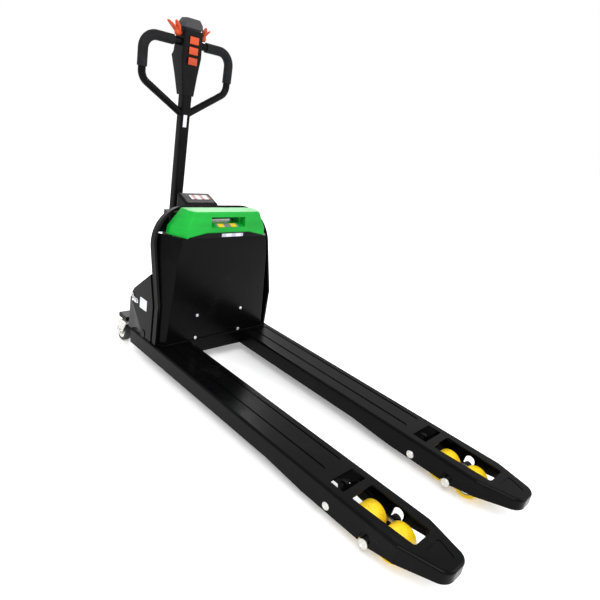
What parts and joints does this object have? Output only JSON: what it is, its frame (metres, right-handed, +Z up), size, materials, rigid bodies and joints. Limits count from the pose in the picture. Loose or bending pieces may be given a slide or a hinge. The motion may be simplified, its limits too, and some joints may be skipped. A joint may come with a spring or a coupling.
{
  "type": "electric pallet truck",
  "caption": "Walk-behind powered pallet truck: two low forks on tandem load rollers, a lift-out battery, a steered drive wheel and a tiller with a loop handle.",
  "frame": {"origin": "on the floor, under the centre of the truck's overall box at rest", "axes": "+X towards the fork tips, +Y to the operator's left, +Z up"},
  "size_m": [1.66, 0.55, 1.25],
  "materials": {
    "fork_paint": "gloss black powder coat",
    "chassis_paint": "satin black powder coat",
    "black_plastic": "fine textured black moulding",
    "grey_plastic": "fine textured grey moulding",
    "green_cover": "gloss green moulding",
    "orange_plastic": "satin orange moulding",
    "tread": "yellow polyurethane",
    "drive_tread": "black rubber",
    "zinc": "zinc plated steel",
    "chrome": "polished steel",
    "dark_steel": "blackened steel",
    "rubber_grip": "soft black grip",
    "aluminium": "cast aluminium"
  },
  "bodies": {
    "chassis": {"chassis_frame": "chassis_paint", "lift_cylinder": "dark_steel", "pump_motor": "dark_steel", "oil_tank": "aluminium", "controller": "black_plastic", "power_pack_cover": "black_plastic", "dash_hood": "black_plastic", "rear_guard": "chassis_paint", "guard_bolts": "chrome", "steer_bearing": "dark_steel", "caster_mounts": "chassis_paint"},
    "fork_frame": {"right_fork": "fork_paint", "left_fork": "fork_paint", "cross_beam": "fork_paint", "front_panel": "fork_paint", "panel_bolts": "chrome", "battery_tray": "chassis_paint", "arch_frame": "fork_paint", "right_side_plate": "fork_paint", "left_side_plate": "fork_paint", "arm_pivot_pins": "chrome", "lift_bracket": "chassis_paint", "lift_ram": "chrome"},
    "battery": {"battery_case": "black_plastic", "battery_cover": "green_cover"},
    "rocker": {"rocker_shaft": "zinc"},
    "steering": {"drive_yoke": "chassis_paint", "drive_motor": "dark_steel", "tiller_base": "chassis_paint", "tilt_axle": "chrome"},
    "drive_wheel": {"drive_tyre": "drive_tread", "drive_hub": "dark_steel"},
    "tiller": {"tiller_tube": "chassis_paint", "handle_loop": "chassis_paint", "handle_grips": "rubber_grip", "head_shell": "black_plastic"},
    "throttle_shaft": {"throttle": "orange_plastic"},
    "belly_switch": {"belly_button": "grey_plastic"},
    "lift_key": {"lift_button": "orange_plastic"},
    "lower_key": {"lower_button": "orange_plastic"},
    "horn_key": {"horn_button": "orange_plastic"},
    "right_arm": {"right_roller_arm": "chassis_paint"},
    "right_bogie_plates": {"right_bogie": "zinc"},
    "right_rod": {"right_push_rod": "chassis_paint"},
    "right_caster_swivel": {"right_caster_fork": "zinc"},
    "right_caster_roller": {"right_caster_wheel": "drive_tread"},
    "right_rear_load_wheel": {"right_rear_load_tyre": "tread", "right_rear_load_hub": "dark_steel"},
    "right_front_load_wheel": {"right_front_load_tyre": "tread", "right_front_load_hub": "dark_steel"},
    "left_arm": {"left_roller_arm": "chassis_paint"},
    "left_bogie_plates": {"left_bogie": "zinc"},
    "left_rod": {"left_push_rod": "chassis_paint"},
    "left_caster_swivel": {"left_caster_fork": "zinc"},
    "left_caster_roller": {"left_caster_wheel": "drive_tread"},
    "left_rear_load_wheel": {"left_rear_load_tyre": "tread", "left_rear_load_hub": "dark_steel"},
    "left_front_load_wheel": {"left_front_load_tyre": "tread", "left_front_load_hub": "dark_steel"}
  },
  "joints": [
    {"name": "lift", "type": "slide", "parent": "chassis", "child": "fork_frame", "axis": [0, 0, 1], "range_m": [-0.015, 0.09]},
    {"name": "battery_lift_out", "type": "slide", "parent": "fork_frame", "child": "battery", "axis": [0, 0, 1], "range_m": [0, 0.3]},
    {"name": "rocker_turn", "type": "hinge", "parent": "fork_frame", "child": "rocker", "pos_m": [-0.49, 0, 0.1205], "axis": [0, 1, 0], "range_deg": [-38.43, 6.57]},
    {"name": "steer", "type": "hinge", "parent": "chassis", "child": "steering", "pos_m": [-0.69, 0, 0.3], "axis": [0, 0, 1], "range_deg": [-80, 80]},
    {"name": "drive_wheel_spin", "type": "hinge", "parent": "steering", "child": "drive_wheel", "pos_m": [-0.69, 0, 0.105], "axis": [0, 1, 0], "continuous": true},
    {"name": "tiller_tilt", "type": "hinge", "parent": "steering", "child": "tiller", "pos_m": [-0.772, 0, 0.33], "axis": [0, -1, 0], "range_deg": [0, 75], "stiffness_Nm_per_rad": 25, "springref_deg": -20.05},
    {"name": "throttle_turn", "type": "hinge", "parent": "tiller", "child": "throttle_shaft", "pos_m": [-0.772, 0, 1.194], "axis": [0, 1, 0], "range_deg": [-30, 30], "stiffness_Nm_per_rad": 0.6},
    {"name": "belly_press", "type": "slide", "parent": "tiller", "child": "belly_switch", "axis": [0, 0, -1], "range_m": [0, 0.005], "stiffness_N_per_m": 600, "springref_m": -0.005},
    {"name": "lift_press", "type": "slide", "parent": "tiller", "child": "lift_key", "axis": [-1, 0, 0], "range_m": [0, 0.002], "stiffness_N_per_m": 500, "springref_m": -0.001},
    {"name": "lower_press", "type": "slide", "parent": "tiller", "child": "lower_key", "axis": [-1, 0, 0], "range_m": [0, 0.002], "stiffness_N_per_m": 500, "springref_m": -0.001},
    {"name": "horn_press", "type": "slide", "parent": "tiller", "child": "horn_key", "axis": [-1, 0, 0], "range_m": [0, 0.002], "stiffness_N_per_m": 500, "springref_m": -0.001},
    {"name": "right_arm_turn", "type": "hinge", "parent": "fork_frame", "child": "right_arm", "pos_m": [0.49, -0.2, 0.056], "axis": [0, 1, 0], "range_deg": [-8.22, 47.79]},
    {"name": "right_bogie_turn", "type": "hinge", "parent": "right_arm", "child": "right_bogie_plates", "pos_m": [0.62, -0.2, 0.038], "axis": [0, 1, 0], "range_deg": [-47.79, 8.22]},
    {"name": "right_rod_push", "type": "slide", "parent": "fork_frame", "child": "right_rod", "axis": [1, 0, 0], "range_m": [-0.00439, 0.02487]},
    {"name": "right_caster_turn", "type": "hinge", "parent": "chassis", "child": "right_caster_swivel", "pos_m": [-0.672, -0.238, 0.1], "axis": [0, 0, 1], "continuous": true},
    {"name": "right_caster_roll", "type": "hinge", "parent": "right_caster_swivel", "child": "right_caster_roller", "pos_m": [-0.694, -0.238, 0.0375], "axis": [0, 1, 0], "continuous": true},
    {"name": "right_rear_load_roll", "type": "hinge", "parent": "right_bogie_plates", "child": "right_rear_load_wheel", "pos_m": [0.573, -0.2, 0.04], "axis": [0, 1, 0], "continuous": true},
    {"name": "right_front_load_roll", "type": "hinge", "parent": "right_bogie_plates", "child": "right_front_load_wheel", "pos_m": [0.667, -0.2, 0.04], "axis": [0, 1, 0], "continuous": true},
    {"name": "left_arm_turn", "type": "hinge", "parent": "fork_frame", "child": "left_arm", "pos_m": [0.49, 0.2, 0.056], "axis": [0, 1, 0], "range_deg": [-8.22, 47.79]},
    {"name": "left_bogie_turn", "type": "hinge", "parent": "left_arm", "child": "left_bogie_plates", "pos_m": [0.62, 0.2, 0.038], "axis": [0, 1, 0], "range_deg": [-47.79, 8.22]},
    {"name": "left_rod_push", "type": "slide", "parent": "fork_frame", "child": "left_rod", "axis": [1, 0, 0], "range_m": [-0.00439, 0.02487]},
    {"name": "left_caster_turn", "type": "hinge", "parent": "chassis", "child": "left_caster_swivel", "pos_m": [-0.672, 0.238, 0.1], "axis": [0, 0, 1], "continuous": true},
    {"name": "left_caster_roll", "type": "hinge", "parent": "left_caster_swivel", "child": "left_caster_roller", "pos_m": [-0.694, 0.238, 0.0375], "axis": [0, 1, 0], "continuous": true},
    {"name": "left_rear_load_roll", "type": "hinge", "parent": "left_bogie_plates", "child": "left_rear_load_wheel", "pos_m": [0.573, 0.2, 0.04], "axis": [0, 1, 0], "continuous": true},
    {"name": "left_front_load_roll", "type": "hinge", "parent": "left_bogie_plates", "child": "left_front_load_wheel", "pos_m": [0.667, 0.2, 0.04], "axis": [0, 1, 0], "continuous": true}
  ],
  "couplings": [
    {"joint": "rocker_turn", "follows": "lift", "rad_per_m": -7.4136},
    {"joint": "right_arm_turn", "follows": "lift", "rad_per_m": 9.2105},
    {"joint": "right_bogie_turn", "follows": "lift", "rad_per_m": -9.2105},
    {"joint": "right_rod_push", "follows": "lift", "ratio": 0.273},
    {"joint": "left_arm_turn", "follows": "lift", "rad_per_m": 9.2105},
    {"joint": "left_bogie_turn", "follows": "lift", "rad_per_m": -9.2105},
    {"joint": "left_rod_push", "follows": "lift", "ratio": 0.273}
  ]
}
